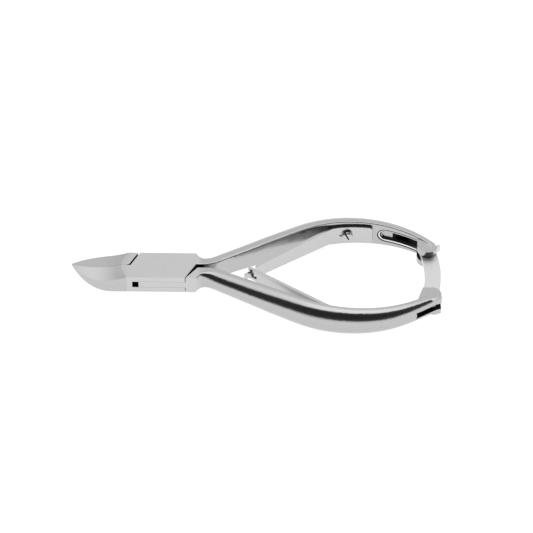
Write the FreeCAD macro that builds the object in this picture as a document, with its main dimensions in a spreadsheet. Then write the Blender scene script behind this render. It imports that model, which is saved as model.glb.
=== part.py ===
"""Nail nipper with a box joint, two interlocking leaf springs and a swinging lock bar.

Frame: the origin is on the pivot axis, in the rear face of the joint. +X runs to the handle ends, +Y is
the side of the upper handle and +Z is the pivot axis, towards the front face. Sizes are millimetres.
"""

import FreeCAD, Part
import math
import os

import Sketcher

doc = FreeCAD.newDocument("nail_nipper")
sheet = doc.addObject("Spreadsheet::Sheet", "Dims")
Vector = FreeCAD.Vector

DIMENSIONS = [
    # joint
    ("joint_thick", 7.6, "front to rear face of the joint"),
    ("joint_width", 13.2, "across the joint"),
    ("joint_end", 13.2, "pivot to the handle end of the joint block"),
    ("root_overlap", 0.2, "start of the handles inside the joint block"),
    ("cheek_thick", 2.35, "each outer wall of the box"),
    ("box_play", 0.06, "side play of the tongue in the box"),
    ("seam_front_mid", 11.6, "pivot to the front seam, on the centre line"),
    ("seam_front_top", 8.2, "pivot to the front seam, at the edge of the joint"),
    ("seam_front_gap", 0.8, "opening of the front seam"),
    ("seam_foot", 0.9, "more of that opening at its foot, on the centre line"),
    ("seam_foot_tall", 0.55, "height of the foot"),
    ("seam_back_mid", 12.97, "pivot to the back seam, at the handle gap"),
    ("seam_back_low", 9.05, "pivot to the back seam, at the edge of the joint"),
    ("root_mid", 14.0, "pivot to the inner corner of the male root"),
    ("root_low_gap", 0.25, "opening of the back seam at the edge of the joint"),
    ("window_edge", 10.8, "pivot to the box end wall, at the edge of the joint"),
    ("window_mid", 12.65, "pivot to the box end wall, on the centre line"),
    ("tongue_edge", 8.4, "pivot to the tongue end, at the edge of the joint"),
    ("tongue_mid", 11.9, "pivot to the tongue end, on the centre line"),
    ("rivet_radius", 2.1, "pivot rivet"),
    ("rivet_play", 0.04, "radial play of the tongue on the rivet"),
    ("rivet_skin", 0.6, "cheek left over each end of the rivet"),
    ("press_fit", 0.01, "radial room of a fixed pin or screw in its hole"),
    # jaws
    ("jaw_tip", 33.9, "pivot to the jaw tips"),
    ("jaw_gap", 0.06, "between the closed cutting edges"),
    ("tip_thick", 0.35, "jaw at its tip"),
    ("flank_radius", 19.0, "curve of the jaw side, seen from the front"),
    ("belly_radius", 20.4, "curve of the jaw back, seen from the side"),
    ("scoop_radius", 34.0, "hollow grind of the jaw front"),
    ("scoop_depth", 1.3, "depth of that grind on the cutting edge"),
    ("scoop_tilt", 8.7, "fall of the grind towards the jaw sides, degrees"),
    ("edge_land", 0.25, "height of the meeting flats under the edges"),
    ("hollow_angle", 33.0, "half angle of the clearance behind the edges, degrees"),
    ("hollow_sweep", 30.0, "angle over which the clearance is ground, degrees"),
    # handles
    ("handle_gap", 1.4, "between the handles where they leave the joint"),
    ("edge_round", 0.4, "rounded edges of the inner face"),
    ("neck_radius", 14.0, "inner curve just behind the joint"),
    ("flank_slope", 27.0, "rise of the straight stretch, degrees"),
    ("bow_radius", 45.0, "inner curve of the bow"),
    ("crown_x", 73.5, "pivot to the crown of the bow"),
    ("crown_y", 22.8, "centre line to the inner face at the crown"),
    # lock and its ears
    ("pin_angle", 51.5, "place of the ear pins on the bow, degrees"),
    ("pin_inset", 0.94, "ear pin inside the inner face"),
    ("pin_skin", 0.5, "ear left over each end of its pin"),
    ("ear_radius", 3.9, "inner curve of the upper ears round their pin"),
    ("slot_width", 2.9, "lock slot"),
    ("upper_cutter", 7.0, "radius of the slot cutter, upper handle"),
    ("upper_cutter_x", 8.3, "ear pin back to that cutter's centre"),
    ("upper_cutter_y", 2.9, "ear pin out to that cutter's centre"),
    ("mouth_angle", 75.0, "place on the bow of the round end of the upper slot, degrees"),
    ("mouth_width", 5.7, "bevelled mouth of the upper slot"),
    ("mouth_deep", 0.35, "depth of that bevel"),
    ("mouth_floor", 1.2, "depth of the mouth's floor"),
    ("mouth_floor_width", 3.9, "that floor"),
    ("upper_end_angle", 49.5, "end of the upper handle on the bow, degrees"),
    ("upper_end_deep", 2.4, "thickness there"),
    ("upper_end_side", 1.5, "straight part of the side there"),
    ("lower_end_angle", 50.0, "end of the lower handle on the bow, degrees"),
    ("lower_end_deep", 4.4, "thickness there"),
    ("lower_end_side", 3.1, "straight part of the side there"),
    ("lower_cutter", 9.0, "radius of the slot cutter, lower handle"),
    ("lower_cutter_x", 2.0, "ear pin back to that cutter's centre"),
    ("lower_cutter_y", 0.65, "ear pin out to that cutter's centre"),
    ("hinge_pin_radius", 1.1, "lock bar hinge pin"),
    ("catch_pin_radius", 0.9, "catch pin"),
    ("bar_play", 0.04, "radial play of the bar on its pin"),
    ("bar_radius", 45.0, "centre line curve of the lock bar"),
    ("bar_width", 6.0, "lock bar, seen from the front"),
    ("bar_thick", 2.5, "lock bar plate"),
    ("bar_tail", 3.3, "bar beyond the catch pin"),
    ("catch_play", 0.12, "catch pin in its notch"),
    ("catch_slope", 31.0, "fall of the notch's lower lip, degrees"),
    ("spur_reach", 5.6, "hinge pin to the end of the thumb spur"),
    ("spur_angle", 31.0, "direction of the thumb spur, degrees"),
    ("spur_width", 1.3, "thumb spur"),
    # leaf springs
    ("leaf_thick", 1.1, "spring strip"),
    ("leaf_width", 7.8, "strip under the screw"),
    ("leaf_tip_width", 5.2, "strip at the interlock"),
    ("leaf_seat_gap", 0.06, "strip off the handle"),
    ("leaf_tail_angle", 81.3, "end of the strip on the bow, degrees"),
    ("leaf_tail_round", 1.3, "its rounded corners"),
    ("leaf_lift_angle", 99.3, "where the strip leaves the bow, degrees"),
    ("leaf_bend_radius", 7.0, "bend where the strip leaves the bow"),
    ("leaf_meet_x", 34.2, "pivot to the interlock"),
    ("tongue_reach", 3.2, "upper strip's tongue beyond the interlock"),
    ("tongue_width", 2.2, "upper strip's tongue"),
    ("tongue_root", 1.3, "interlock back to the shoulders of the tongue"),
    ("fork_width", 2.7, "slot between the lower strip's prongs"),
    ("fork_root", 1.8, "interlock back to the end of that slot"),
    ("fork_reach", 1.4, "lower strip's prongs beyond the interlock"),
    # screws and pegs
    ("screw_angle", 93.9, "place of the spring screw on the bow, degrees"),
    ("screw_radius", 1.2, "screw shank"),
    ("screw_depth", 3.6, "shank in the handle"),
    ("head_radius", 2.1, "screw head"),
    ("head_tall", 1.5, "screw head"),
    ("head_dome", 0.8, "rounding of the head"),
    ("drive_width", 0.6, "screwdriver slot"),
    ("drive_depth", 0.8, "screwdriver slot"),
    ("drive_turn", -22.0, "turn of that slot about the screw, degrees"),
    ("head_gap", 0.03, "screw head off the strip"),
    ("leaf_hole_play", 0.15, "strip hole around shank or peg"),
    ("peg_angle", 96.9, "place of the locating peg on the bow, degrees"),
    ("peg_radius", 0.6, "locating peg"),
    ("peg_depth", 2.4, "peg in the handle"),
    ("peg_short", 0.35, "peg top below the strip's face"),
]

# Handle cross-sections: share of the handle's length, half width, thickness, straight part of the side.
# The last one's thickness and side are dimensions of each handle, and take the place of the noughts.
STATIONS = [
    ("root", 0.000, 3.78, 5.86, 5.70),
    ("step", 0.009, 3.78, 5.30, 4.60),
    ("dip", 0.020, 3.79, 4.75, 3.40),
    ("throat", 0.036, 3.85, 4.70, 2.75),
    ("neck", 0.070, 4.05, 5.15, 2.10),
    ("rise", 0.170, 4.45, 5.60, 1.55),
    ("flank", 0.320, 5.20, 6.00, 1.20),
    ("brow", 0.480, 5.80, 5.90, 1.00),
    ("crown", 0.600, 5.80, 5.70, 0.90),
    ("haunch", 0.710, 5.50, 5.40, 0.85),
    ("fall", 0.800, 5.10, 5.00, 0.90),
    ("waist", 0.890, 4.60, 4.20, 1.20),
    ("ear", 1.000, 3.90, 0.00, 0.00),
]
SECTIONS = 28
# The cross-sections stand closer together at the joint than at the ears, by this power of their share.
CROWDING = 1.5

# Outlines of the ears about their pin, as shares of the ear radius; a third number is the radius of the
# curve from that corner to the next.
UPPER_EAR = [
    (-0.98, 0.95),
    (-1.00, 0.00, 1.00),
    (0.98, -0.17),
]
LOWER_EAR = [
    (-0.65, 0.56),
    (-1.15, -1.00),
    (-0.60, -1.15),
    (0.60, -1.15),
    (1.12, -0.93),
    (1.10, -0.35, 0.90),
    (0.42, 0.56),
]


def fill_sheet():
    rows = list(DIMENSIONS)
    for name, share, half, deep, side in STATIONS:
        rows.append((name + "_share", share, "share of the handle's length at this section"))
        rows.append((name + "_half", half, "half width of this section"))
        rows.append((name + "_deep", deep, "thickness of this section"))
        rows.append((name + "_side", side, "straight side of this section"))
    for row, (alias, value, note) in enumerate(rows, 1):
        sheet.set("A%d" % row, alias)
        sheet.set("B%d" % row, str(value))
        sheet.setAlias("B%d" % row, alias)
        sheet.set("C%d" % row, note)
    doc.recompute()


class Size:
    """A number together with the spreadsheet expression that gives it."""

    def __init__(self, value, text):
        self.value = value
        self.text = text

    @staticmethod
    def of(other):
        return other if isinstance(other, Size) else Size(float(other), repr(float(other)))

    def joined(self, sign, other, value):
        return Size(value, "(%s %s %s)" % (self.text, sign, Size.of(other).text))

    def __add__(self, other):
        return self.joined("+", other, self.value + Size.of(other).value)

    def __sub__(self, other):
        return self.joined("-", other, self.value - Size.of(other).value)

    def __mul__(self, other):
        return self.joined("*", other, self.value * Size.of(other).value)

    def __truediv__(self, other):
        return self.joined("/", other, self.value / Size.of(other).value)

    def __neg__(self):
        return self * -1


def dim(alias):
    return Size(float(sheet.get(alias)), "Dims." + alias)


def root_of(size):
    return Size(math.sqrt(size.value), "sqrt(%s)" % size.text)


def arcsine(size):
    return Size(math.degrees(math.asin(size.value)), "asin(%s)" % size.text)


def arctangent(size):
    return Size(math.degrees(math.atan(size.value)), "atan(%s)" % size.text)


def sine(size):
    return Size(math.sin(math.radians(size.value)), "sin(%s)" % size.text)


def cosine(size):
    return Size(math.cos(math.radians(size.value)), "cos(%s)" % size.text)


def tangent(size):
    return Size(math.tan(math.radians(size.value)), "tan(%s)" % size.text)


def bind(thing, path, size):
    thing.setExpression(path, Size.of(size).text)


# ---- PartDesign helpers -------------------------------------------------------------------------------


def new_body(name):
    body = doc.addObject("PartDesign::Body", name)
    body.Label = name
    return body


def outline(body, name, corners, role="XY_Plane", offset=0.0, tilt=0.0, lift=0.0):
    """A closed sketch. A corner is (x, y), or (x, y, r) when an arc of radius r leads to the next corner:
    r above 0 has its centre on the left of the way, below 0 on the right."""
    sketch = body.newObject("Sketcher::SketchObject", name)
    plane = [f for f in body.Origin.OriginFeatures if f.Role == role]
    sketch.AttachmentSupport = (plane[0], [""])
    sketch.MapMode = "FlatFace"
    bind(sketch, "AttachmentOffset.Base.z", offset)
    bind(sketch, "AttachmentOffset.Base.y", lift)
    if isinstance(tilt, Size):
        sketch.AttachmentOffset = FreeCAD.Placement(Vector(), FreeCAD.Rotation(Vector(1, 0, 0), tilt.value))
        bind(sketch, "AttachmentOffset.Rotation.Angle", tilt)
    points = [Vector(Size.of(c[0]).value, Size.of(c[1]).value, 0) for c in corners]
    count = len(corners)
    for i, corner in enumerate(corners):
        a, b = points[i], points[(i + 1) % count]
        if len(corner) == 2:
            sketch.addGeometry(Part.LineSegment(a, b), False)
        else:
            sketch.addGeometry(arc_between(a, b, Size.of(corner[2]).value), False)
    for i, corner in enumerate(corners):
        start = 2 if len(corner) == 3 and Size.of(corner[2]).value < 0 else 1
        before = corners[i - 1]
        end = 1 if len(before) == 3 and Size.of(before[2]).value < 0 else 2
        sketch.addConstraint(Sketcher.Constraint("Coincident", (i - 1) % count, end, i, start))
        for kind, size in (("DistanceX", corner[0]), ("DistanceY", corner[1])):
            size = Size.of(size)
            at = sketch.addConstraint(Sketcher.Constraint(kind, -1, 1, i, start, size.value))
            bind(sketch, "Constraints[%d]" % at, size)
        if len(corner) == 3:
            size = Size.of(corner[2])
            radius = size if size.value > 0 else -size
            at = sketch.addConstraint(Sketcher.Constraint("Radius", i, radius.value))
            bind(sketch, "Constraints[%d]" % at, radius)
    return sketch


def arc_between(a, b, r):
    """The short arc from a to b. Sketches keep arcs anticlockwise, so r below 0 swaps its two ends."""
    start, end = (a, b) if r > 0 else (b, a)
    middle, half = (start + end) * 0.5, (end - start) * 0.5
    left = Vector(-half.y, half.x, 0).normalize()
    centre = middle + left * math.sqrt(max(r * r - half.Length ** 2, 0.0))
    first = math.atan2(start.y - centre.y, start.x - centre.x)
    last = math.atan2(end.y - centre.y, end.x - centre.x)
    return Part.ArcOfCircle(Part.Circle(centre, Vector(0, 0, 1), abs(r)), first, last)


def ring(body, name, x, y, radius, role="XY_Plane", tilt=0.0):
    """A sketch holding one circle."""
    sketch = outline(body, name, [], role, 0.0, tilt)
    x, y, radius = Size.of(x), Size.of(y), Size.of(radius)
    sketch.addGeometry(Part.Circle(Vector(x.value, y.value, 0), Vector(0, 0, 1), radius.value), False)
    for kind, size in (("DistanceX", x), ("DistanceY", y)):
        at = sketch.addConstraint(Sketcher.Constraint(kind, -1, 1, 0, 3, size.value))
        bind(sketch, "Constraints[%d]" % at, size)
    at = sketch.addConstraint(Sketcher.Constraint("Radius", 0, radius.value))
    bind(sketch, "Constraints[%d]" % at, radius)
    return sketch


def pad(body, sketch, length):
    feature = body.newObject("PartDesign::Pad", sketch.Name + "_pad")
    feature.Profile = sketch
    bind(feature, "Length", length)
    sketch.Visibility = False
    doc.recompute()
    return feature


def pocket(body, sketch, length, both_ways=False):
    """Cuts against the sketch's normal, or both ways from its plane; it must remove something."""
    before = body.Shape.Volume
    feature = body.newObject("PartDesign::Pocket", sketch.Name + "_pocket")
    feature.Profile = sketch
    bind(feature, "Length", length)
    feature.Midplane = both_ways
    doc.recompute()
    must_shrink(body, before, feature)
    return feature


def groove(body, sketch, angle):
    """Turns the sketch about its own H axis, half of the angle each way."""
    before = body.Shape.Volume
    feature = body.newObject("PartDesign::Groove", sketch.Name + "_groove")
    feature.Profile = sketch
    feature.ReferenceAxis = (sketch, ["H_Axis"])
    bind(feature, "Angle", angle)
    feature.Midplane = True
    doc.recompute()
    must_shrink(body, before, feature)
    return feature


def must_shrink(body, before, feature):
    if not body.Shape.Volume < before - 1e-3:
        raise RuntimeError("%s cut nothing from %s" % (feature.Name, body.Label))


# ---- Part helpers -------------------------------------------------------------------------------------


def solid(name, shape, hidden=True):
    feature = doc.addObject("Part::Feature", name)
    feature.Shape = shape
    feature.Visibility = not hidden
    return feature


def cylinder(name, radius, height, base):
    """A cylinder along Z."""
    made = doc.addObject("Part::Cylinder", name)
    bind(made, "Radius", radius)
    bind(made, "Height", height)
    for axis, size in zip("xyz", base):
        bind(made, "Placement.Base." + axis, size)
    return made


def block(name, low, high):
    made = doc.addObject("Part::Box", name)
    for side, a, b in zip(("Length", "Width", "Height"), low, high):
        bind(made, side, Size.of(b) - a)
    for axis, size in zip("xyz", low):
        bind(made, "Placement.Base." + axis, size)
    return made


def bow_drill(name, radius, angle, start, length, side):
    """A cylinder along the bow's radius at this angle, from start to start + length from its centre."""
    made = doc.addObject("Part::Cylinder", name)
    bind(made, "Radius", radius)
    bind(made, "Height", length)
    place_on_bow(made, angle, start, side)
    return made


def place_on_bow(thing, angle, start, side, spin=0.0):
    """Turns a thing made along +Z to point out along the bow's radius, with its origin at start."""
    bow_y = dim("crown_y") - dim("bow_radius")
    centre = Vector(dim("crown_x").value, side * bow_y.value, mid_z.value)
    radial = Vector(cosine(angle).value, side * sine(angle).value, 0)
    turn = FreeCAD.Rotation(Vector(0, 0, 1), radial) * FreeCAD.Rotation(Vector(0, 0, 1), spin)
    thing.Placement = FreeCAD.Placement(centre + radial * Size.of(start).value, turn)
    bind(thing, "Placement.Base.x", dim("crown_x") + Size.of(start) * cosine(angle))
    bind(thing, "Placement.Base.y", (bow_y + Size.of(start) * sine(angle)) * side)
    bind(thing, "Placement.Base.z", mid_z)


def joined(name, things):
    made = doc.addObject("Part::MultiFuse", name)
    made.Shapes = things
    return made


def cut(name, base, tools):
    made = doc.addObject("Part::Cut", name)
    made.Base = base
    made.Tool = tools[0] if len(tools) == 1 else joined(name + "_tools", tools)
    return made


fill_sheet()

# ---- shared places ------------------------------------------------------------------------------------

thick = dim("joint_thick")
mid_z = thick / 2
half_width = dim("joint_width") / 2
half_gap = dim("handle_gap") / 2
pin_orbit = dim("bow_radius") - dim("pin_inset")
pin_x = dim("crown_x") + pin_orbit * cosine(dim("pin_angle"))
pin_y = dim("crown_y") - dim("bow_radius") + pin_orbit * sine(dim("pin_angle"))
root_low = dim("seam_back_low") + dim("root_low_gap")
root_climb = (half_width - half_gap) / (dim("root_mid") - root_low)

# How far cutters pass the surfaces they cut, and how far the longest ones reach.
OVERSHOOT = 3.0
REACH = 60.0
STRIP_REACH = 15.0
# Edges flatter than this count as flat.
TINY = 0.05
# The jaw back's cutter stops at this sine of its turn.
BELLY_SHARE = 0.96


# ---- jaws and joint blocks ----------------------------------------------------------------------------


def grind_jaw(body, side):
    """The curves that both jaws share. side is +1 for the jaw above the centre line and -1 below it."""
    rise = thick - dim("tip_thick")
    belly_start = dim("jaw_tip") - root_of(rise * dim("belly_radius") * 2 - rise * rise)
    belly_end = belly_start + dim("belly_radius") * BELLY_SHARE
    belly_top = dim("belly_radius") * (1 - math.sqrt(1 - BELLY_SHARE * BELLY_SHARE))
    belly = outline(
        body,
        body.Name + "_belly",
        [
            (-belly_start, 0, -dim("belly_radius")),
            (-belly_end, belly_top),
            (-belly_end, -OVERSHOOT),
            (-belly_start, -OVERSHOOT),
        ],
        "XZ_Plane",
    )
    pocket(body, belly, REACH, both_ways=True)

    deep, wheel = dim("scoop_depth"), dim("scoop_radius")
    half_chord = root_of(deep * 2 * wheel - deep * deep)
    scoop_x = dim("jaw_tip") - half_chord
    scoop_z = thick - dim("scoop_depth") + dim("scoop_radius")
    scoop = ring(
        body,
        body.Name + "_scoop",
        -scoop_x,
        scoop_z * cosine(dim("scoop_tilt")),
        dim("scoop_radius") * cosine(dim("scoop_tilt")),
        "XZ_Plane",
        dim("scoop_tilt") * -side,
    )
    pocket(body, scoop, REACH, both_ways=True)

    apex = dim("scoop_radius") + dim("edge_land")
    foot = scoop_z + OVERSHOOT
    spread = (foot - apex) * tangent(dim("hollow_angle"))
    hollow = outline(
        body,
        body.Name + "_hollow",
        [(0, -apex), (-spread, -foot), (spread, -foot)],
        "YZ_Plane",
        -scoop_x,
        lift=scoop_z,
    )
    groove(body, hollow, dim("hollow_sweep"))


def jaw_corner():
    """Where the straight side of the joint runs into the curved side of the jaw."""
    inner = dim("flank_radius") - half_width + dim("jaw_gap") / 2
    return dim("jaw_tip") - root_of(dim("flank_radius") * dim("flank_radius") - inner * inner)


def female_block():
    """Lower jaw, the two cheeks of the box and the root of the upper handle."""
    body = new_body("female_block")
    edge = dim("jaw_gap") / 2
    plan = outline(
        body,
        "female_plan",
        [
            (-dim("jaw_tip"), -edge, dim("flank_radius")),
            (-jaw_corner(), -half_width),
            (dim("seam_back_low"), -half_width),
            (dim("seam_back_mid"), half_gap),
            (dim("joint_end"), half_gap),
            (dim("joint_end"), half_width),
            (-dim("seam_front_top"), half_width),
            (-dim("seam_front_mid"), -edge),
        ],
    )
    pad(body, plan, thick)
    wide = half_width + OVERSHOOT
    lean = (dim("window_mid") - dim("window_edge")) / half_width
    box = outline(
        body,
        "box",
        [
            (-dim("window_edge") + lean * OVERSHOOT, -wide),
            (dim("window_mid") + lean * wide, -wide),
            (dim("window_edge") - lean * OVERSHOOT, wide),
            (-dim("window_mid") - lean * wide, wide),
        ],
        offset=thick - dim("cheek_thick"),
    )
    pocket(body, box, thick - dim("cheek_thick") * 2)
    grind_jaw(body, -1)
    return body


def male_block():
    """Upper jaw, the tongue through the box and the root of the lower handle."""
    body = new_body("male_block")
    edge = dim("jaw_gap") / 2
    gap = dim("seam_front_gap")
    lean = (dim("seam_front_mid") - dim("seam_front_top")) / half_width
    jaw = outline(
        body,
        "jaw_plan",
        [
            (-dim("jaw_tip"), edge, -dim("flank_radius")),
            (-jaw_corner(), half_width),
            (-dim("seam_front_top") - gap, half_width),
            (-dim("seam_front_mid") - gap + lean * dim("seam_foot_tall"), dim("seam_foot_tall")),
            (-dim("seam_front_mid") - gap - dim("seam_foot"), edge),
        ],
    )
    pad(body, jaw, thick)
    tongue_low = dim("cheek_thick") + dim("box_play")
    tongue = outline(
        body,
        "tongue_plan",
        [
            (-dim("seam_front_mid") - gap, edge),
            (-dim("tongue_mid"), edge),
            (-dim("tongue_edge"), -half_width),
            (dim("joint_end"), -half_width),
            (dim("joint_end"), -half_gap),
            (dim("tongue_mid"), -half_gap),
            (dim("tongue_edge"), half_width),
            (-dim("seam_front_top") - gap, half_width),
        ],
        offset=tongue_low,
    )
    pad(body, tongue, thick - tongue_low * 2)
    root = outline(
        body,
        "root_plan",
        [
            (root_low, -half_width),
            (dim("joint_end"), -half_width),
            (dim("joint_end"), (dim("joint_end") - root_low) * root_climb - half_width),
        ],
    )
    pad(body, root, thick)
    grind_jaw(body, 1)
    return body


# ---- handles ------------------------------------------------------------------------------------------


def inner_path(end_angle):
    """The inner line of the upper handle as stretches of (length, function of the way gone)."""
    slope = math.radians(dim("flank_slope").value)
    bow, neck = dim("bow_radius").value, dim("neck_radius").value
    centre = Vector(dim("crown_x").value, dim("crown_y").value - bow, 0)
    gap_y = half_gap.value
    bow_start = centre + Vector(-math.sin(slope), math.cos(slope), 0) * bow
    corner_x = bow_start.x - (bow_start.y - gap_y) / math.tan(slope)
    neck_x = corner_x - neck * math.tan(slope / 2)
    neck_end = Vector(neck_x + neck * math.sin(slope), gap_y + neck * (1 - math.cos(slope)), 0)
    start_x = (dim("joint_end") - dim("root_overlap")).value
    sweep = math.pi / 2 + slope - math.radians(end_angle.value)

    def straight(s):
        return Vector(start_x + s, gap_y, 0), 0.0

    def curl(s):
        turn = s / neck
        return Vector(neck_x + neck * math.sin(turn), gap_y + neck * (1 - math.cos(turn)), 0), turn

    def climb(s):
        return neck_end + Vector(math.cos(slope), math.sin(slope), 0) * s, slope

    def arch(s):
        turn = slope - s / bow
        return centre + Vector(-math.sin(turn), math.cos(turn), 0) * bow, turn

    return [
        (neck_x - start_x, straight),
        (neck * slope, curl),
        ((bow_start - neck_end).Length, climb),
        (bow * sweep, arch),
    ]


def point_on(path, way):
    for length, place in path[:-1]:
        if way <= length:
            return place(way)
        way -= length
    return path[-1][1](way)


def handle_blank(side):
    """Flat inner face, rounded back, widths and thicknesses from the cross-sections."""
    names = [station[0] for station in STATIONS]
    shares = [dim(name + "_share").value for name in names]
    sizes = [Vector(*(dim(name + end).value for end in ("_half", "_deep", "_side"))) for name in names]
    tag = "upper" if side > 0 else "lower"
    sizes[-1].y = dim(tag + "_end_deep").value
    sizes[-1].z = dim(tag + "_end_side").value
    spread = Part.BSplineCurve()
    spread.interpolate(Points=sizes, Parameters=shares)
    path = inner_path(dim(tag + "_end_angle"))
    total = sum(length for length, place in path)
    wires = []
    for i in range(SECTIONS + 1):
        share = (i / SECTIONS) ** CROWDING
        foot, turn = point_on(path, share * total)
        half, deep, straight = spread.value(share)
        wires.append(section(foot, turn, half, deep, straight, side))
    return Part.makeLoft(wires, True, False)


def section(foot, turn, half, deep, straight, side):
    """One closed cross-section, square to the inner line."""
    out = Vector(-math.sin(turn), math.cos(turn) * side, 0)
    up = Vector(0, 0, 1)
    inner = Vector(foot.x, foot.y * side, mid_z.value)
    outer = inner + out * straight
    rim = dim("edge_round").value
    low, high = inner - up * half, inner + up * half
    low_arc = stretched_arc(low + out * rim + up * rim, out * -rim, up * -rim, 0, 90)
    high_arc = stretched_arc(high + out * rim - up * rim, out * -rim, up * rim, 90, 0)
    back = stretched_arc(outer, out * (deep - straight), up * half, -90, 90)
    return Part.Wire(
        [
            Part.makeLine(high - up * rim, low + up * rim),
            low_arc,
            Part.makeLine(low + out * rim, outer - up * half),
            back,
            Part.makeLine(outer + up * half, high + out * rim),
            high_arc,
        ]
    )


def stretched_arc(centre, ahead, across, first, last):
    """Part of an ellipse: an arc of the unit circle, its two directions stretched to ahead and across."""
    circle = Part.Circle(Vector(), Vector(0, 0, 1), 1)
    low, high = min(first, last), max(first, last)
    curve = Part.ArcOfCircle(circle, math.radians(low), math.radians(high)).toBSpline()
    for i, pole in enumerate(curve.getPoles(), 1):
        curve.setPole(i, centre + ahead * pole.x + across * pole.y)
    if first > last:
        curve.reverse()
    return curve.toShape()


def ear(name, shares, side):
    """A plate as thick as the handle; the slot splits it into two ears."""
    radius = dim("ear_radius")
    corners = []
    for right, up, *curve in shares:
        place = (pin_x + radius * right, pin_y * side + radius * up)
        corners.append(place + tuple(radius * share for share in curve))
    body = new_body(name + "_plate")
    plan = outline(body, name + "_plan", corners, offset=mid_z - dim("ear_half"))
    pad(body, plan, dim("ear_half") * 2)
    return body


def rounded(name, base, edges, radius):
    made = doc.addObject("Part::Fillet", name)
    made.Base = base
    made.Edges = [(i, radius.value, radius.value) for i in edges]
    return made


def slot_cutters(name, radius, back, out, side):
    """A disc cutter, and the straight way from its centre out of the end of the handle."""
    x, y = pin_x - back, (pin_y + out) * side
    low = mid_z - dim("slot_width") / 2
    disc = cylinder(name + "_disc", radius, dim("slot_width"), (x, y, low))
    way = block(name + "_way", (x, y - radius, low), (x + REACH, y + radius, low + dim("slot_width")))
    return [disc, way]


def mouth_cutters():
    """The bevelled pocket round the upper slot: a channel along the bow, and its round end."""
    slim, wide = dim("mouth_floor_width") / 2, dim("mouth_width") / 2
    inside = dim("bow_radius") - OVERSHOOT
    bevel = dim("bow_radius") + dim("mouth_deep")
    floor = dim("bow_radius") + dim("mouth_floor")
    rim = wide + (wide - slim) / dim("mouth_deep") * OVERSHOOT
    middle = Vector(dim("crown_x").value, (dim("crown_y") - dim("bow_radius")).value, mid_z.value)
    half = [(inside, rim), (bevel, slim), (floor, slim)]
    corners = half + [(radius, -height) for radius, height in reversed(half)]
    points = [middle + Vector(radius.value, 0, height.value) for radius, height in corners]
    face = Part.Face(Part.makePolygon(points + points[:1]))
    start, end = dim("pin_angle").value, dim("mouth_angle").value
    face.rotate(middle, Vector(0, 0, 1), start)
    channel = solid("mouth_channel", face.revolve(middle, Vector(0, 0, 1), end - start))
    cone = doc.addObject("Part::Cone", "mouth_cone")
    bind(cone, "Radius1", rim)
    bind(cone, "Radius2", slim)
    bind(cone, "Height", bevel - inside)
    place_on_bow(cone, dim("mouth_angle"), inside, 1)
    return [channel, cone, bow_drill("mouth_end", slim, dim("mouth_angle"), inside, floor - inside, 1)]


def pin_hole(name, radius, side):
    deep = dim("ear_half") - dim("pin_skin")
    wide = radius + dim("press_fit")
    return cylinder(name, wide, deep * 2, (pin_x, pin_y * side, mid_z - deep))


def spring_holes(name, side):
    screw = bow_drill(
        name + "_screw",
        dim("screw_radius") + dim("press_fit"),
        dim("screw_angle"),
        dim("bow_radius") - OVERSHOOT,
        dim("screw_depth") + OVERSHOOT,
        side,
    )
    peg = bow_drill(
        name + "_peg",
        dim("peg_radius") + dim("press_fit"),
        dim("peg_angle"),
        dim("bow_radius") - OVERSHOOT,
        dim("peg_depth") + OVERSHOOT,
        side,
    )
    return [screw, peg]


def rivet_hole(name, radius, low, high):
    return cylinder(name, radius, high - low, (0, 0, low))


def female_half():
    block_part = female_block()
    blank = solid("upper_blank", handle_blank(1))
    bevelled = cut("upper_bevelled", blank, mouth_cutters())
    whole = joined("female_whole", [block_part, bevelled, ear("upper_ear", UPPER_EAR, 1)])
    skin = dim("rivet_skin")
    tools = slot_cutters(
        "upper_slot", dim("upper_cutter"), dim("upper_cutter_x"), dim("upper_cutter_y"), 1
    )
    tools.append(pin_hole("hinge_hole", dim("hinge_pin_radius"), 1))
    tools.append(rivet_hole("rivet_seat", dim("rivet_radius") + dim("press_fit"), skin, thick - skin))
    tools += spring_holes("upper_hole", 1)
    return cut("female_half", whole, tools)


def seam_relief():
    """Clears the handle's start out of the back seam, in front of the tongue and behind it."""
    angle = arctangent(root_climb)
    deep = dim("cheek_thick") + dim("box_play")
    boxes = []
    for name, low in (("relief_rear", mid_z - REACH), ("relief_front", thick - deep)):
        box = doc.addObject("Part::Box", name)
        bind(box, "Length", dim("joint_width"))
        bind(box, "Width", dim("joint_width") / 2)
        bind(box, "Height", mid_z + REACH - (thick - deep))
        box.Placement = FreeCAD.Placement(Vector(), FreeCAD.Rotation(Vector(0, 0, 1), angle.value))
        bind(box, "Placement.Rotation.Angle", angle)
        bind(box, "Placement.Base.x", root_low)
        bind(box, "Placement.Base.y", -half_width)
        bind(box, "Placement.Base.z", low)
        boxes.append(box)
    return boxes


def male_half():
    block_part = male_block()
    blank = cut("lower_relieved", solid("lower_blank", handle_blank(-1)), seam_relief())
    whole = joined("male_whole", [block_part, blank, ear("lower_ear", LOWER_EAR, -1)])
    tools = slot_cutters(
        "lower_slot", dim("lower_cutter"), dim("lower_cutter_x"), dim("lower_cutter_y"), -1
    )
    tools.append(pin_hole("catch_hole", dim("catch_pin_radius"), -1))
    tools.append(rivet_hole("rivet_eye", dim("rivet_radius") + dim("rivet_play"), 0, thick))
    tools += spring_holes("lower_hole", -1)
    return cut("male_half", whole, tools)


# ---- lock bar -----------------------------------------------------------------------------------------


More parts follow.
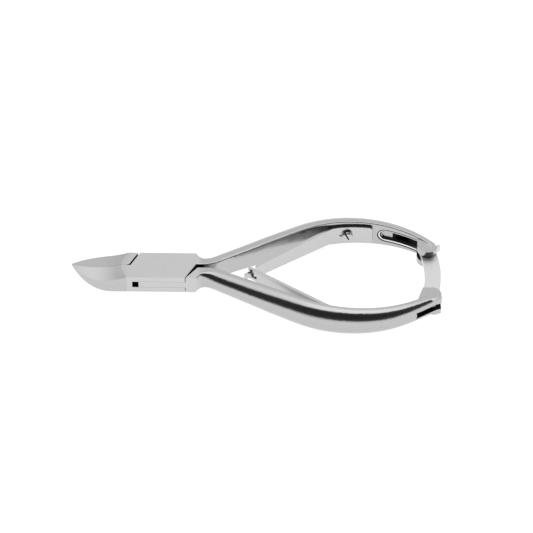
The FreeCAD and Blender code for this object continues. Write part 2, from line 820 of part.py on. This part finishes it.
def lock_bar():
    """Curved plate, round the hinge pin at its top, with a notch open to +X for the catch pin."""
    body = new_body("lock_bar")
    radius, half = dim("bar_radius"), dim("bar_width") / 2
    outer, inner = radius + half, radius - half
    centre_x = pin_x - root_of(radius * radius - pin_y * pin_y)
    rise, run = pin_y / radius, (pin_x - centre_x) / radius
    low = -pin_y - dim("bar_tail")
    floor = mid_z - dim("bar_thick") / 2
    plan = outline(
        body,
        "bar_plan",
        [
            (centre_x + root_of(outer * outer - low * low), low, outer),
            (centre_x + outer * run, outer * rise, half),
            (centre_x + inner * run, inner * rise, -inner),
            (centre_x + root_of(inner * inner - low * low), low),
        ],
        offset=floor,
    )
    pad(body, plan, dim("bar_thick"))

    along, square = cosine(dim("spur_angle")), sine(dim("spur_angle"))
    wide, start, end = dim("spur_width") / 2, half / 2, dim("spur_reach")
    spur = outline(
        body,
        "spur",
        [
            (pin_x + start * along + wide * square, pin_y + start * square - wide * along),
            (pin_x + end * along + wide * square, pin_y + end * square - wide * along),
            (pin_x + end * along - wide * square, pin_y + end * square + wide * along),
            (pin_x + start * along - wide * square, pin_y + start * square + wide * along),
        ],
        offset=floor,
    )
    pad(body, spur, dim("bar_thick"))

    room = dim("catch_pin_radius") + dim("catch_play")
    notch = outline(
        body,
        "notch",
        [
            (pin_x, -pin_y + room, room),
            (pin_x, -pin_y - room),
            (pin_x + dim("bar_width"), -pin_y - room - dim("bar_width") * tangent(dim("catch_slope"))),
            (pin_x + dim("bar_width"), -pin_y + room),
        ],
    )
    pocket(body, notch, REACH, both_ways=True)
    hole = ring(body, "hinge_eye", pin_x, pin_y, dim("hinge_pin_radius") + dim("bar_play"))
    pocket(body, hole, REACH, both_ways=True)
    return body


def ear_pin(name, radius, side):
    deep = dim("ear_half") - dim("pin_skin")
    return cylinder(name, radius, deep * 2, (pin_x, pin_y * side, mid_z - deep))


# ---- leaf springs, their screws and pegs --------------------------------------------------------------


def leaf_strip(name, side):
    """Lies on the bow, leaves it in a short bend and runs straight through the interlock."""
    body = new_body(name + "_strip")
    bow_y = dim("crown_y") - dim("bow_radius")
    back = dim("bow_radius") - dim("leaf_seat_gap")
    face = back - dim("leaf_thick")
    bend = dim("leaf_bend_radius")
    bend_back = bend + dim("leaf_thick")
    tail, lift = dim("leaf_tail_angle"), dim("leaf_lift_angle")
    bend_x = dim("crown_x") + (face - bend) * cosine(lift)
    bend_y = bow_y + (face - bend) * sine(lift)
    run = bend_x - dim("leaf_meet_x")
    reach = root_of(run * run + bend_y * bend_y)
    middle = bend + dim("leaf_thick") / 2
    dive = arctangent(bend_y / run) + arcsine(middle / reach)
    ahead = dim("tongue_reach") if side > 0 else dim("fork_reach")
    length = root_of(reach * reach - middle * middle) + ahead

    def on(radius, angle):
        return dim("crown_x") + radius * cosine(angle), (bow_y + radius * sine(angle)) * side

    def off(radius, way):
        way = Size.of(way)
        x = bend_x - radius * sine(dive) - way * cosine(dive)
        y = bend_y + radius * cosine(dive) - way * sine(dive)
        return x, y * side

    plan = outline(
        body,
        name + "_plan",
        [
            (*on(back, tail), back * side),
            (*on(back, lift), bend_back * side),
            off(bend_back, 0),
            off(bend_back, length),
            off(bend, length),
            (*off(bend, 0), bend * -side),
            (*on(face, lift), face * -side),
            on(face, tail),
        ],
        offset=mid_z - dim("leaf_width") / 2,
    )
    pad(body, plan, dim("leaf_width"))
    wide, slim = dim("leaf_width") / 2, dim("leaf_tip_width") / 2
    start_x, end_x = bend_x, dim("leaf_meet_x")
    for end, face_side in (("front", 1), ("rear", -1)):
        corners = [
            (start_x, mid_z + wide * face_side),
            (end_x, mid_z + slim * face_side),
            (end_x - STRIP_REACH, mid_z + slim * face_side),
            (end_x - STRIP_REACH, mid_z + wide * face_side * 2),
            (start_x, mid_z + wide * face_side * 2),
        ]
        taper = outline(body, "%s_taper_%s" % (name, end), corners, "XZ_Plane")
        pocket(body, taper, REACH * 2, both_ways=True)
    return body


def round_tail(name, strip):
    """Rounds the two corners of the strip's end on the bow."""
    tail = strip.Shape.BoundBox.XMax - dim("leaf_thick").value
    edges = []
    for i, edge in enumerate(strip.Shape.Edges, 1):
        box = edge.BoundBox
        if box.XMin > tail and box.ZLength < TINY and box.YLength > box.XLength:
            edges.append(i)
    return rounded(name, strip, edges, dim("leaf_tail_round"))


def interlock_cuts(name, side):
    """Leaves the upper strip its tongue, or opens the fork in the lower strip."""
    low_x = dim("leaf_meet_x") - STRIP_REACH
    tall = Size.of(REACH)
    if side < 0:
        half = dim("fork_width") / 2
        high_x = dim("leaf_meet_x") + dim("fork_root")
        return [block(name + "_fork", (low_x, -tall / 2, mid_z - half), (high_x, tall / 2, mid_z + half))]
    half = dim("tongue_width") / 2
    high_x = dim("leaf_meet_x") + dim("tongue_root")
    front = block(name + "_front", (low_x, -tall / 2, mid_z + half), (high_x, tall / 2, mid_z + tall))
    rear = block(name + "_rear", (low_x, -tall / 2, mid_z - tall), (high_x, tall / 2, mid_z - half))
    return [front, rear]


def leaf_spring(name, side):
    tools = interlock_cuts(name, side)
    start = dim("bow_radius") - OVERSHOOT
    for tag in ("screw", "peg"):
        room = dim(tag + "_radius") + dim("leaf_hole_play")
        angle = dim(tag + "_angle")
        tools.append(bow_drill("%s_%s" % (name, tag), room, angle, start, OVERSHOOT * 2, side))
    return cut(name, round_tail(name + "_rounded", leaf_strip(name, side)), tools)


def spring_screw(name, side):
    """Rounded head on the strip with a straight screwdriver slot, and a shank in the handle."""
    seat = dim("bow_radius") - dim("leaf_seat_gap") - dim("leaf_thick") - dim("head_gap")
    top = seat - dim("head_tall")
    tall = dim("head_tall")
    length = dim("bow_radius") + dim("screw_depth") - top - tall
    shank = cylinder(name + "_shank", dim("screw_radius"), length, (0, 0, tall))
    disc = cylinder(name + "_disc", dim("head_radius"), tall, (0, 0, 0))
    doc.recompute()
    rim = [i for i, edge in enumerate(disc.Shape.Edges, 1) if edge.BoundBox.ZMax < TINY]
    head = rounded(name + "_head", disc, rim, dim("head_dome"))
    half, wide, deep = dim("drive_width") / 2, dim("head_radius") * 2, dim("drive_depth")
    drive = block(name + "_drive", (-half, -wide, -deep), (half, wide, deep))
    screw = cut(name, joined(name + "_solid", [shank, head]), [drive])
    place_on_bow(screw, dim("screw_angle"), top, side, dim("drive_turn").value)
    return screw


def locating_peg(name, side):
    top = dim("bow_radius") - dim("leaf_seat_gap") - dim("leaf_thick") + dim("peg_short")
    end = dim("bow_radius") + dim("peg_depth")
    return bow_drill(name, dim("peg_radius"), dim("peg_angle"), top, end - top, side)


# ---- build and write ----------------------------------------------------------------------------------


def pivot_pin():
    skin = dim("rivet_skin")
    return cylinder("pivot_pin", dim("rivet_radius"), thick - skin * 2, (0, 0, skin))


parts = {
    "female_half": female_half(),
    "male_half": male_half(),
    "pivot_pin": pivot_pin(),
    "upper_leaf_spring": leaf_spring("upper_leaf_spring", 1),
    "lower_leaf_spring": leaf_spring("lower_leaf_spring", -1),
    "upper_spring_screw": spring_screw("upper_spring_screw", 1),
    "lower_spring_screw": spring_screw("lower_spring_screw", -1),
    "upper_locating_peg": locating_peg("upper_locating_peg", 1),
    "lower_locating_peg": locating_peg("lower_locating_peg", -1),
    "lock_bar": lock_bar(),
    "lock_hinge_pin": ear_pin("lock_hinge_pin", dim("hinge_pin_radius"), 1),
    "catch_pin": ear_pin("catch_pin", dim("catch_pin_radius"), -1),
}
doc.recompute()

for thing in doc.Objects:
    if "Invalid" in thing.State or "Error" in thing.State:
        raise RuntimeError("%s did not recompute: %s" % (thing.Label, thing.State))

os.makedirs("parts", exist_ok=True)
for name, part in parts.items():
    part.Label = name
    shape = part.Shape
    if shape.isNull() or not shape.isValid():
        raise RuntimeError("%s has no valid shape" % name)
    if len(shape.Solids) != 1:
        raise RuntimeError("%s has %d solids" % (name, len(shape.Solids)))
    shape.exportStep("parts/%s.step" % name)
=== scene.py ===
import math

import bmesh
import bpy
from mathutils import Matrix, Vector


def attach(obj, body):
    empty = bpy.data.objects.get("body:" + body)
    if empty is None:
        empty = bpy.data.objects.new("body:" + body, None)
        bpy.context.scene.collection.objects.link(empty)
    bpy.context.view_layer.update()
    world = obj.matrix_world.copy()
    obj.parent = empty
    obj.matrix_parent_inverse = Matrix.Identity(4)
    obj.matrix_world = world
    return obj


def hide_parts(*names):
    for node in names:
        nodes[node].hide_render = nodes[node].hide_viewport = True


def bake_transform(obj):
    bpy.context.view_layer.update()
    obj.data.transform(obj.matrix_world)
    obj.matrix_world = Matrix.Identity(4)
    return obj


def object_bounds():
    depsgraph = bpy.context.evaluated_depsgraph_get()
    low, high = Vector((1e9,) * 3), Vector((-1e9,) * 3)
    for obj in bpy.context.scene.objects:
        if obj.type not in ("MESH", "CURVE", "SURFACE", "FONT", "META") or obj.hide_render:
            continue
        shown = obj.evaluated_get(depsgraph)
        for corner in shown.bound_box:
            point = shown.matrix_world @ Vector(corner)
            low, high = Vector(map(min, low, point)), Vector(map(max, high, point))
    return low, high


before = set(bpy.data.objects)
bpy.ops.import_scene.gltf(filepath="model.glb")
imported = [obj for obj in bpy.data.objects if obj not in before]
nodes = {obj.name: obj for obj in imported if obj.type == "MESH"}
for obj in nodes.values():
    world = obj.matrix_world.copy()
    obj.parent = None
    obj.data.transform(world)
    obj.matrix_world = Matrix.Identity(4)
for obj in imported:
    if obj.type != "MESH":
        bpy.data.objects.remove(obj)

cad_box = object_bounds()

# ---- the bench: a white light table under a soft studio ------------------------------------------------
# A plain pale table lit from all round, so that the tool lies on it almost without a shadow. Behind the
# camera the studio is dark, and polished steel shows that as a dark stripe along rounded edges.

BENCH_GREY = 0.25
BENCH_GLOW = 0.93
BENCH_HALF = 3.0
BENCH_GAP = 0.0002
MATT_ROUGH = 0.9
SKY = 0.90
OVERHEAD_GAIN = 1.6
OVERHEAD_FROM = 0.76
OVERHEAD_FULL = 0.94
LEFT_SHARE = 0.70
LEFT_FULL = -0.62
LEFT_FROM = -0.12


def matt(name, grey, glow=0.0):
    """A dull even surface that may glow by itself."""
    made = bpy.data.materials.new(name)
    made.use_nodes = True
    shader = made.node_tree.nodes["Principled BSDF"]
    shader.inputs["Base Color"].default_value = (grey, grey, grey, 1)
    shader.inputs["Roughness"].default_value = MATT_ROUGH
    shader.inputs["Emission Color"].default_value = (1, 1, 1, 1)
    shader.inputs["Emission Strength"].default_value = glow
    return made


def flat_sheet(name, half_wide, half_tall, place, material):
    """A flat rectangle of the studio, put in its place by a matrix."""
    sheet = bmesh.new()
    bmesh.ops.create_grid(sheet, x_segments=1, y_segments=1, size=1.0)
    bmesh.ops.scale(sheet, vec=(half_wide, half_tall, 1), verts=sheet.verts)
    bmesh.ops.transform(sheet, matrix=place, verts=sheet.verts)
    mesh = bpy.data.meshes.new(name)
    sheet.to_mesh(mesh)
    sheet.free()
    mesh.materials.append(material)
    made = bpy.data.objects.new(name, mesh)
    bpy.context.collection.objects.link(made)


def ramp(tree, value, start, end, low, high):
    """Takes the value from start to end to low to high, and holds it beyond."""
    step = tree.nodes.new("ShaderNodeMapRange")
    step.inputs["From Min"].default_value = start
    step.inputs["From Max"].default_value = end
    step.inputs["To Min"].default_value = low
    step.inputs["To Max"].default_value = high
    tree.links.new(value, step.inputs["Value"])
    return step.outputs["Result"]


def both(tree, first, second):
    """The product of two shares: 1 only where both are 1."""
    step = tree.nodes.new("ShaderNodeMath")
    step.operation = "MULTIPLY"
    tree.links.new(first, step.inputs[0])
    tree.links.new(second, step.inputs[1])
    return step.outputs[0]


bench_top = Matrix.Translation((0, 0, cad_box[0].z - BENCH_GAP))
flat_sheet("bench", BENCH_HALF, BENCH_HALF, bench_top, matt("bench_white", BENCH_GREY, BENCH_GLOW))

world = bpy.data.worlds.new("studio")
world.use_nodes = True
sky = world.node_tree
way = sky.nodes.new("ShaderNodeTexCoord")
way_parts = sky.nodes.new("ShaderNodeSeparateXYZ")
sky.links.new(way.outputs["Generated"], way_parts.inputs["Vector"])
overhead = ramp(sky, way_parts.outputs["Z"], OVERHEAD_FROM, OVERHEAD_FULL, SKY, SKY * OVERHEAD_GAIN)
leftward = ramp(sky, way_parts.outputs["X"], LEFT_FULL, LEFT_FROM, LEFT_SHARE, 1.0)
sky.links.new(both(sky, overhead, leftward), sky.nodes["Background"].inputs["Strength"])
sky.nodes["Background"].inputs["Color"].default_value = (1, 1, 1, 1)
bpy.context.scene.world = world
bpy.context.scene.view_settings.view_transform = "Standard"

CAMERA_WAY = 1.0
CAMERA_RISE = math.radians(45)
CAMERA_ROLL = math.radians(0.7)
CAMERA_LENS = 178.0
CAMERA_SENSOR = 36.0
CAMERA_TARGET = Vector((0.0397, 0.0038, 0.0038))
back = Vector((0, -math.cos(CAMERA_RISE), math.sin(CAMERA_RISE)))
level = Vector((1, 0, 0))
upward = back.cross(level)
right = level * math.cos(CAMERA_ROLL) + upward * math.sin(CAMERA_ROLL)
upward = upward * math.cos(CAMERA_ROLL) - level * math.sin(CAMERA_ROLL)
turn = Matrix((right, upward, back)).transposed().to_4x4()
camera_data = bpy.data.cameras.new("camera")
camera_data.lens = CAMERA_LENS
camera_data.sensor_width = CAMERA_SENSOR
camera = bpy.data.objects.new("camera", camera_data)
camera.matrix_world = Matrix.Translation(CAMERA_TARGET + back * CAMERA_WAY) @ turn
bpy.context.collection.objects.link(camera)
bpy.context.scene.camera = camera

CARD_GREY = 0.01
CARD_WAY = 1.25
CARD_HALF_WIDE = 2.4
CARD_HALF_TALL = 0.85
card_place = Matrix.Translation(CAMERA_TARGET + back * CARD_WAY) @ turn
flat_sheet("dark_card", CARD_HALF_WIDE, CARD_HALF_TALL, card_place, matt("card_black", CARD_GREY))

# ---- the two halves ------------------------------------------------------------------------------------
# Each half is one stainless steel forging: jaw, joint and handle. The joint is ground across, the jaws along
# and the handles polished to a satin. Inside the joint, between the handles and in the slots the faces are
# painted nearly black as painted shade.

SHARP = math.radians(32)
MERGE = 1e-7
EDGE = 0.00012
EDGE_STEPS = 2
NOISE_DETAIL = 3.0
GREY_VARIES = 0.07
ZONE_GREY_VARIES = 0.10
ROUGH_VARIES = 0.20
# Near-black grey and roughness of painted shade: faces inside the joint box, the handle gap and the slots,
# the lines round the slot mouth and the floor of the screw's driver slot.
PAINTED_SHADE_GREY = 0.02
PAINTED_SHADE_ROUGH = 0.6


def fine_marks(tree, grain):
    """Noise from 0 to 1, with grain marks to a metre along X, Y and Z."""
    place = tree.nodes.new("ShaderNodeTexCoord")
    stretch = tree.nodes.new("ShaderNodeMapping")
    stretch.inputs["Scale"].default_value = grain
    tree.links.new(place.outputs["Object"], stretch.inputs["Vector"])
    marks = tree.nodes.new("ShaderNodeTexNoise")
    marks.inputs["Scale"].default_value = 1.0
    marks.inputs["Detail"].default_value = NOISE_DETAIL
    tree.links.new(stretch.outputs["Vector"], marks.inputs["Vector"])
    return marks.outputs["Fac"]


def varied(tree, noise, value, share):
    """The value, lowered and raised by up to a share of itself as the noise goes."""
    return ramp(tree, noise, 0.0, 1.0, value * (1 - share), value * (1 + share))


def mixed(tree, share, first, second):
    """The first value where the share is 0 and the second where it is 1."""
    mix = tree.nodes.new("ShaderNodeMix")
    tree.links.new(share, mix.inputs[0])
    for value, socket in ((first, mix.inputs[2]), (second, mix.inputs[3])):
        if isinstance(value, float):
            socket.default_value = value
        else:
            tree.links.new(value, socket)
    return mix.outputs[0]


def place_parts(tree):
    """X, Y and Z of a place on the piece."""
    place = tree.nodes.new("ShaderNodeTexCoord")
    parts = tree.nodes.new("ShaderNodeSeparateXYZ")
    tree.links.new(place.outputs["Object"], parts.inputs["Vector"])
    return parts.outputs


def along(tree, start, end, curve):
    """Rises from 0 to 1 between two places along X, which move by curve times the square of Y."""
    parts = place_parts(tree)
    bent = tree.nodes.new("ShaderNodeMath")
    bent.operation = "MULTIPLY_ADD"
    tree.links.new(both(tree, parts["Y"], parts["Y"]), bent.inputs[0])
    bent.inputs[1].default_value = -curve
    tree.links.new(parts["X"], bent.inputs[2])
    return ramp(tree, bent.outputs[0], start, end, 0.0, 1.0)


def compared(tree, operation, value, *limits):
    """1 where the value passes the comparison, 0 elsewhere."""
    step = tree.nodes.new("ShaderNodeMath")
    step.operation = operation
    tree.links.new(value, step.inputs[0])
    for socket, limit in zip(step.inputs[1:], limits):
        socket.default_value = limit
    return step.outputs[0]


def between(tree, value, low, high):
    """1 where the value is between low and high, 0 elsewhere."""
    return compared(tree, "COMPARE", value, (low + high) / 2, (high - low) / 2)


def inside(tree, low, high):
    """1 inside the box from low to high, 0 outside."""
    parts = place_parts(tree)
    share = compared(tree, "GREATER_THAN", parts["X"], low[0])
    share = both(tree, share, compared(tree, "LESS_THAN", parts["X"], high[0]))
    for axis, least, most in zip("YZ", low[1:], high[1:]):
        share = both(tree, share, compared(tree, "GREATER_THAN", parts[axis], least))
        share = both(tree, share, compared(tree, "LESS_THAN", parts[axis], most))
    return share


def vector_step(tree, operation, value, other):
    """One vector step, from the value and three fixed numbers."""
    step = tree.nodes.new("ShaderNodeVectorMath")
    step.operation = operation
    tree.links.new(value, step.inputs[0])
    step.inputs[1].default_value = other
    return step


def flat_distance(tree, centre):
    """How far a place is from the upright line through the centre."""
    place = tree.nodes.new("ShaderNodeTexCoord")
    flat = vector_step(tree, "MULTIPLY", place.outputs["Object"], (1, 1, 0))
    reach = vector_step(tree, "DISTANCE", flat.outputs["Vector"], (centre[0], centre[1], 0))
    return reach.outputs["Value"]


def slot_distance(tree, end_x, middle_z):
    """How far a place is from the middle of a slot along X, whose round end is centred on end_x."""
    place = tree.nodes.new("ShaderNodeTexCoord")
    shift = vector_step(tree, "SUBTRACT", place.outputs["Object"], (end_x, 0, middle_z))
    behind = vector_step(tree, "MINIMUM", shift.outputs["Vector"], (0, 0, 1))
    flat = vector_step(tree, "MULTIPLY", behind.outputs["Vector"], (1, 0, 1))
    reach = tree.nodes.new("ShaderNodeVectorMath")
    reach.operation = "LENGTH"
    tree.links.new(flat.outputs["Vector"], reach.inputs[0])
    return reach.outputs["Value"]


def steel(name, grey, rough, marks, depth, zones=(), hollows=(), touches=()):
    """Bare steel, with grain marks of a depth along X, Y and Z.

    zones are further finishes along the piece: start, end, curve, grey, rough and marks.
    hollows are boxes, low and high corner, whose faces are painted nearly black as painted shade.
    touches are small places with painted shade or a painted highlight: a function that gives the share, grey
    and rough.
    """
    made = bpy.data.materials.new(name)
    made.use_nodes = True
    tree = made.node_tree
    shader = tree.nodes["Principled BSDF"]
    shader.inputs["Metallic"].default_value = 1.0
    relief = fine_marks(tree, marks)
    light = varied(tree, relief, grey, GREY_VARIES)
    dull = varied(tree, relief, rough, ROUGH_VARIES)
    for start, end, curve, zone_grey, zone_rough, zone_marks in zones:
        share = along(tree, start, end, curve)
        zone_relief = fine_marks(tree, zone_marks)
        relief = mixed(tree, share, relief, zone_relief)
        light = mixed(tree, share, light, varied(tree, zone_relief, zone_grey, ZONE_GREY_VARIES))
        dull = mixed(tree, share, dull, varied(tree, zone_relief, zone_rough, ROUGH_VARIES))
    spots = [(inside(tree, low, high), PAINTED_SHADE_GREY, PAINTED_SHADE_ROUGH) for low, high in hollows]
    spots += [(place(tree), spot_grey, spot_rough) for place, spot_grey, spot_rough in touches]
    for share, spot_grey, spot_rough in spots:
        light = mixed(tree, share, light, spot_grey)
        dull = mixed(tree, share, dull, spot_rough)
    colour = tree.nodes.new("ShaderNodeCombineColor")
    for channel in ("Red", "Green", "Blue"):
        tree.links.new(light, colour.inputs[channel])
    tree.links.new(colour.outputs["Color"], shader.inputs["Base Color"])
    tree.links.new(dull, shader.inputs["Roughness"])
    bump = tree.nodes.new("ShaderNodeBump")
    bump.inputs["Strength"].default_value = 1.0
    bump.inputs["Distance"].default_value = depth
    tree.links.new(relief, bump.inputs["Height"])
    tree.links.new(bump.outputs["Normal"], shader.inputs["Normal"])
    return made


def finished(node_name, piece_name, material, edge=EDGE, cuts=()):
    """A merged copy of a node, smooth on its curves and with its edges lightly broken.

    cuts are places along X where its faces are divided.
    """
    node = nodes[node_name]
    work = bmesh.new()
    work.from_mesh(node.data)
    bmesh.ops.transform(work, matrix=node.matrix_world, verts=work.verts)
    bmesh.ops.remove_doubles(work, verts=work.verts, dist=MERGE)
    for x in cuts:
        everything = work.verts[:] + work.edges[:] + work.faces[:]
        bmesh.ops.bisect_plane(work, geom=everything, plane_co=(x, 0, 0), plane_no=(1, 0, 0))
    for face in work.faces:
        face.smooth = True
    for line in work.edges:
        line.smooth = line.is_manifold and line.calc_face_angle() < SHARP
    mesh = bpy.data.meshes.new(piece_name)
    work.to_mesh(mesh)
    work.free()
    mesh.materials.append(material)
    piece = bpy.data.objects.new(piece_name, mesh)
    bpy.context.collection.objects.link(piece)
    bevel = piece.modifiers.new("broken_edges", "BEVEL")
    bevel.width = edge
    bevel.segments = EDGE_STEPS
    bevel.limit_method = "ANGLE"
    bevel.angle_limit = SHARP
    bevel.harden_normals = True
    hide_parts(node_name)
    return piece


JOINT_GREY = 0.53
JAW_GREY = 0.60
HANDLE_GREY = 0.51
GROUND = 0.30
SATIN = 0.19
JOINT_MARKS = (4000, 400, 4000)
JAW_MARKS = (500, 7000, 7000)
HANDLE_MARKS = (900, 2600, 2600)
FORGED_DEPTH = 0.000004

JAW_START = -0.0150
JAW_FADE = 0.0001
JAW_CURVE = 50.0
NECK_START = 0.0136
NECK_END = 0.0156

MIDDLE = 0.0038
SLOT_LOW = 0.00233
SLOT_HIGH = 0.00527
# Boxes whose faces are painted nearly black as painted shade: inside the joint box, in the gap between the
# handles at the neck and in the slots of the handles.
BOX_UPPER_SIDE = ((-0.0134, 0.0001, SLOT_LOW), (0.0131, 0.0064, 0.0074))
BOX_LOWER_BACK = ((0.0080, -0.0064, 0.0002), (0.0131, 0.0001, 0.0074))
BOX_LOWER_SIDE = ((-0.0134, -0.0064, SLOT_LOW), (0.0080, 0.0001, SLOT_HIGH))
HANDLE_GAP = ((0.0131, -0.0040, 0.0002), (0.0160, 0.0040, 0.0074))
UPPER_SLOT = ((0.0880, 0.0, SLOT_LOW), (0.1080, 0.0222, SLOT_HIGH))
LOWER_SLOT = ((0.0955, -0.0215, SLOT_LOW), (0.1080, 0.0, SLOT_HIGH))

BOW_CENTRE = (0.0735, -0.0222)
BOW_RADIUS = 0.0450
MOUTH_END = 0.08515
MOUTH_BOX = ((0.0790, 0.0, -0.0100), (0.0980, 0.0300, 0.0200))
MOUTH_ABOVE = 0.0002
MOUTH_DEEP = 0.0005
MOUTH_WALL = 0.00180
MOUTH_BEVEL = 0.00215
MOUTH_RIM = 0.00262
MOUTH_OUTSIDE = 0.00312
# The mouth of the upper slot is painted: a painted highlight on its chamfer, between a painted shade line
# outside it and a painted shade line on the wall inside.
CHAMFER_PAINTED_HIGHLIGHT_GREY = 0.95
BEVEL_ROUGH = 0.35


def mouth_band(low, high):
    """A function that gives a band round the mouth of the upper slot, on the handle's inner face."""

    def share(tree):
        round_mouth = between(tree, slot_distance(tree, MOUTH_END, MIDDLE), low, high)
        radius = flat_distance(tree, BOW_CENTRE)
        on_face = between(tree, radius, BOW_RADIUS - MOUTH_ABOVE, BOW_RADIUS + MOUTH_DEEP)
        return both(tree, both(tree, round_mouth, on_face), inside(tree, *MOUTH_BOX))

    return share


forged = steel(
    "forged_steel",
    JOINT_GREY,
    GROUND,
    JOINT_MARKS,
    FORGED_DEPTH,
    zones=(
        (JAW_START - JAW_FADE, JAW_START, JAW_CURVE, JAW_GREY, GROUND, JAW_MARKS),
        (NECK_START, NECK_END, 0.0, HANDLE_GREY, SATIN, HANDLE_MARKS),
    ),
    hollows=(BOX_UPPER_SIDE, BOX_LOWER_BACK, BOX_LOWER_SIDE, HANDLE_GAP, UPPER_SLOT, LOWER_SLOT),
    # Painted shade line, painted highlight on the chamfer and painted shade line on the wall, round the mouth
    # of the upper slot.
    touches=(
        (mouth_band(MOUTH_RIM, MOUTH_OUTSIDE), PAINTED_SHADE_GREY, PAINTED_SHADE_ROUGH),
        (mouth_band(MOUTH_BEVEL, MOUTH_RIM), CHAMFER_PAINTED_HIGHLIGHT_GREY, BEVEL_ROUGH),
        (mouth_band(MOUTH_WALL, MOUTH_BEVEL), PAINTED_SHADE_GREY, PAINTED_SHADE_ROUGH),
    ),
)
upper = finished("female_half", "upper_half_skin", forged)
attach(upper, "upper_half")
lower = finished("male_half", "lower_half_skin", forged)
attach(lower, "lower_half")

# ---- the pivot rivet -----------------------------------------------------------------------------------
# A steel rivet through both cheeks of the box and the tongue between them. Its ends are ground away with the
# joint's faces, so none of it shows.

PIN_GREY = 0.55
PIN_ROUGH = 0.3
PIN_MARKS = (3000, 3000, 800)
FINE_DEPTH = 0.000003


def coat(node_name, material):
    """Gives a node its material and leaves its shape alone."""
    slots = nodes[node_name].data.materials
    slots.clear()
    slots.append(material)


pin_steel = steel("pin_steel", PIN_GREY, PIN_ROUGH, PIN_MARKS, FINE_DEPTH)
coat("pivot_pin", pin_steel)

# ---- the leaf springs ----------------------------------------------------------------------------------
# Two strips of spring steel, sheared, bent and tempered, then polished along their length. Each is screwed to
# the inside of its handle and bends from there; the upper one's tongue rides in the lower one's fork.

SPRING_GREY = 0.58
SPRING_ROUGH = 0.22
SPRING_MARKS = (700, 5000, 5000)
BEND_START = 0.0690
BEND_END = 0.0560
BEND_STEPS = 8
bend_cuts = [BEND_START + (BEND_END - BEND_START) * i / BEND_STEPS for i in range(BEND_STEPS + 1)]
spring_steel = steel("spring_steel", SPRING_GREY, SPRING_ROUGH, SPRING_MARKS, FINE_DEPTH)
upper_leaf = finished("upper_leaf_spring", "upper_leaf_skin", spring_steel, cuts=bend_cuts)
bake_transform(upper_leaf)
lower_leaf = finished("lower_leaf_spring", "lower_leaf_skin", spring_steel, cuts=bend_cuts)
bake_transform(lower_leaf)

# ---- the spring screws and locating pegs ---------------------------------------------------------------
# Slotted round-head steel screws that hold the strips, and a small pressed peg in front of each that keeps
# its strip from turning. The floor of the driver slot is painted black as painted shade.

SCREW_GREY = 0.58
SCREW_ROUGH = 0.2
SCREW_MARKS = (2500, 2500, 2500)
SCREW_EDGE = 0.00006
DRIVE_FLOOR = (0.04300, 0.04320)


def drive_slot(tree):
    """The floor of the driver slot in the upper screw, by its distance from the centre of the bow."""
    return between(tree, flat_distance(tree, BOW_CENTRE), *DRIVE_FLOOR)


# Painted shade: the floor of the driver slot is painted nearly black.
slot_painted_shade = ((drive_slot, PAINTED_SHADE_GREY, PAINTED_SHADE_ROUGH),)
screw_steel = steel("screw_steel", SCREW_GREY, SCREW_ROUGH, SCREW_MARKS, FINE_DEPTH, touches=slot_painted_shade)
upper_screw = finished("upper_spring_screw", "upper_screw_skin", screw_steel, edge=SCREW_EDGE)
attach(upper_screw, "upper_half")
lower_screw = finished("lower_spring_screw", "lower_screw_skin", screw_steel, edge=SCREW_EDGE)
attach(lower_screw, "lower_half")
coat("upper_locating_peg", pin_steel)
coat("lower_locating_peg", pin_steel)

# ---- the lock bar and its pins -------------------------------------------------------------------------
# A curved flat bar cut from plate and polished, hinged in the upper ears. Its notch drops over the pin in the
# lower ears and holds the handles shut.

BAR_GREY = 0.72
BAR_ROUGH = 0.38
BAR_MARKS = (1500, 1500, 5000)
BAR_EDGE = 0.00015
plate_steel = steel("plate_steel", BAR_GREY, BAR_ROUGH, BAR_MARKS, FINE_DEPTH)
bar = finished("lock_bar", "lock_bar_skin", plate_steel, edge=BAR_EDGE)
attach(bar, "lock")
coat("lock_hinge_pin", pin_steel)
coat("catch_pin", pin_steel)
